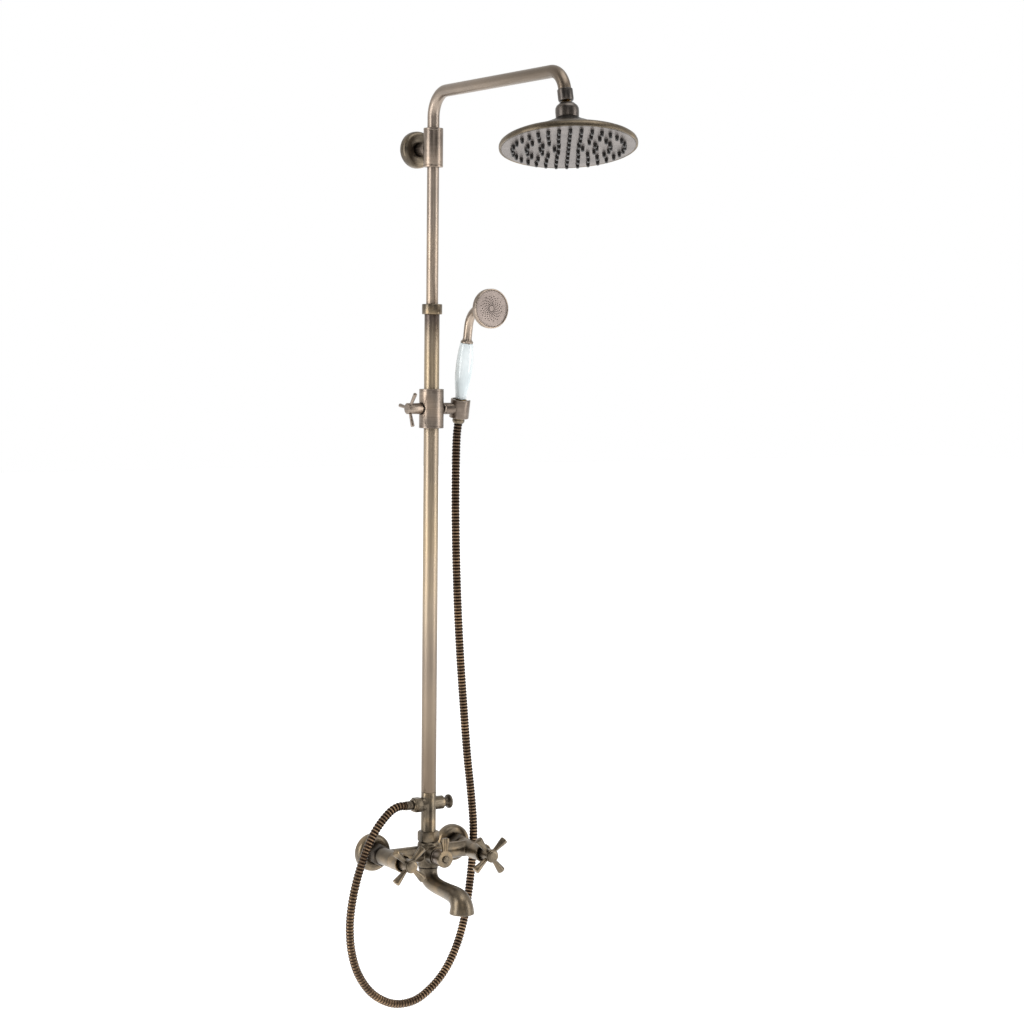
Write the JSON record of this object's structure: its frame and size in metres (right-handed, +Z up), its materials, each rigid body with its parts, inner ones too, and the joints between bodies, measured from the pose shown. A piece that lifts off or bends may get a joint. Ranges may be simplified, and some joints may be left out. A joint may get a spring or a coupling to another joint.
{
  "type": "wall-mounted shower column",
  "caption": "Exposed bath and shower column for a wall: two cross-handle valves, swivel spout, telescopic riser, sliding handset holder and tilting rain head.",
  "frame": {"origin": "on the wall's face, midway between the two water inlets and at their height", "axes": "+Z up along the column, +Y into the wall, +X to the right along the wall as seen from the room"},
  "size_m": [0.258, 0.5329, 1.463],
  "materials": {
    "aged_brass": "brushed and patinated, taupe brown with lighter rubbed streaks",
    "dark_bronze": "dark oxidised, satin",
    "raw_brass": "as machined",
    "porcelain": "clear glaze over white",
    "silicone": "satin",
    "acetal": "moulded, matt",
    "rubber": "matt",
    "stainless_steel": "brushed"
  },
  "bodies": {
    "wall_frame": {"bracket_wall_plate": "stainless_steel", "bracket_rosette": "aged_brass", "bracket_post": "aged_brass", "bracket_sleeve": "aged_brass", "bracket_grub_screw": "stainless_steel", "riser_lower": "aged_brass", "riser_lock_collar": "aged_brass", "riser_gland_seal": "rubber", "tee_body": "aged_brass", "column_union_nut": "aged_brass", "column_union_washer": "rubber", "mixer_body": "aged_brass", "escutcheon_left": "aged_brass", "escutcheon_right": "aged_brass", "eccentric_union_left": "raw_brass", "eccentric_union_right": "raw_brass", "union_nut_left": "dark_bronze", "union_nut_right": "dark_bronze", "valve_headwork_left": "raw_brass", "valve_headwork_right": "raw_brass", "valve_shroud_left": "aged_brass", "valve_shroud_right": "aged_brass", "selector_bonnet": "aged_brass", "shower_hose": "dark_bronze", "hose_ferrule": "dark_bronze", "hose_hex_nut": "aged_brass"},
    "riser_guide": {"riser_guide_bush": "acetal"},
    "gooseneck": {"riser_upper": "aged_brass", "arm_ferrule": "aged_brass", "ball_stud": "raw_brass"},
    "ball_seat": {"ball_seat_ring": "acetal"},
    "ball_seal": {"ball_seal_cup": "rubber"},
    "rain_head": {"swivel_nut": "aged_brass", "head_shell": "aged_brass", "head_face_plate": "aged_brass", "head_nozzle_mat": "silicone"},
    "slider_liner": {"slider_liner": "acetal"},
    "slider": {"slider_sleeve": "aged_brass", "holder_pivot": "aged_brass"},
    "clamp_knob": {"slider_clamp_knob": "aged_brass"},
    "holder": {"holder_cup": "aged_brass"},
    "hose_nut": {"hose_cone_nut": "aged_brass"},
    "handset": {"handset_tail": "raw_brass", "handset_handle": "porcelain", "handset_neck": "aged_brass", "handset_shell": "aged_brass", "handset_face": "aged_brass"},
    "left_handle": {"valve_spindle_left": "raw_brass", "cross_handle_left": "aged_brass", "handle_cap_left": "aged_brass"},
    "right_handle": {"valve_spindle_right": "raw_brass", "cross_handle_right": "aged_brass", "handle_cap_right": "aged_brass"},
    "selector_lever": {"selector_spindle": "raw_brass", "selector_lever": "aged_brass", "selector_screw": "aged_brass"},
    "diverter": {"diverter_knob": "aged_brass", "diverter_spindle": "raw_brass"},
    "spout": {"spout": "aged_brass", "aerator": "acetal"}
  },
  "joints": [
    {"name": "riser_telescope", "type": "slide", "parent": "wall_frame", "child": "riser_guide", "axis": [0, 0, 1], "range_m": [-0.012, 0.2]},
    {"name": "arm_swing", "type": "hinge", "parent": "riser_guide", "child": "gooseneck", "pos_m": [0, -0.0535, 0.6], "axis": [0, 0, 1], "range_deg": [-60, 60]},
    {"name": "head_tilt", "type": "hinge", "parent": "gooseneck", "child": "ball_seat", "pos_m": [0, -0.42396, 1.1513], "axis": [1, 0, 0], "range_deg": [-8, 8]},
    {"name": "head_roll", "type": "hinge", "parent": "ball_seat", "child": "ball_seal", "pos_m": [0, -0.42396, 1.1513], "axis": [0, 1, 0], "range_deg": [-8, 8]},
    {"name": "head_spin", "type": "hinge", "parent": "ball_seal", "child": "rain_head", "pos_m": [0, -0.42396, 1.1513], "axis": [0.082, 0.2011, 0.9761], "continuous": true},
    {"name": "slider_height", "type": "slide", "parent": "wall_frame", "child": "slider_liner", "axis": [0, 0, 1], "range_m": [-0.55, 0.115], "deforming": ["shower_hose"]},
    {"name": "slider_turn", "type": "hinge", "parent": "slider_liner", "child": "slider", "pos_m": [0, -0.0535, 0.713], "axis": [0, 0, 1], "range_deg": [-60, 40]},
    {"name": "clamp_turn", "type": "hinge", "parent": "slider", "child": "clamp_knob", "pos_m": [0, -0.0535, 0.713], "axis": [-1, 0, 0], "range_deg": [0, 180]},
    {"name": "holder_tilt", "type": "hinge", "parent": "slider", "child": "holder", "pos_m": [0, -0.0535, 0.713], "axis": [1, 0, 0], "range_deg": [-10, 20]},
    {"name": "handset_lift", "type": "slide", "parent": "holder", "child": "hose_nut", "axis": [0, -0.1839, 0.9829], "range_m": [0, 0.045]},
    {"name": "handset_turn", "type": "hinge", "parent": "hose_nut", "child": "handset", "pos_m": [0.053, -0.0535, 0.713], "axis": [0, -0.1839, 0.9829], "range_deg": [-40, 60]},
    {"name": "left_valve_turn", "type": "hinge", "parent": "wall_frame", "child": "left_handle", "pos_m": [-0.075, -0.12, 0], "axis": [0, -1, 0], "range_deg": [0, 90]},
    {"name": "right_valve_turn", "type": "hinge", "parent": "wall_frame", "child": "right_handle", "pos_m": [0.075, -0.12, 0], "axis": [0, 1, 0], "range_deg": [0, 90]},
    {"name": "selector_turn", "type": "hinge", "parent": "wall_frame", "child": "selector_lever", "pos_m": [0, -0.1, -0.001], "axis": [0, 1, 0], "range_deg": [0, 90]},
    {"name": "diverter_pull", "type": "slide", "parent": "wall_frame", "child": "diverter", "axis": [1, 0, 0], "range_m": [0, 0.006]},
    {"name": "spout_swivel", "type": "hinge", "parent": "wall_frame", "child": "spout", "pos_m": [0, -0.0535, -0.03], "axis": [0, 0, 1], "range_deg": [-70, 70]}
  ]
}
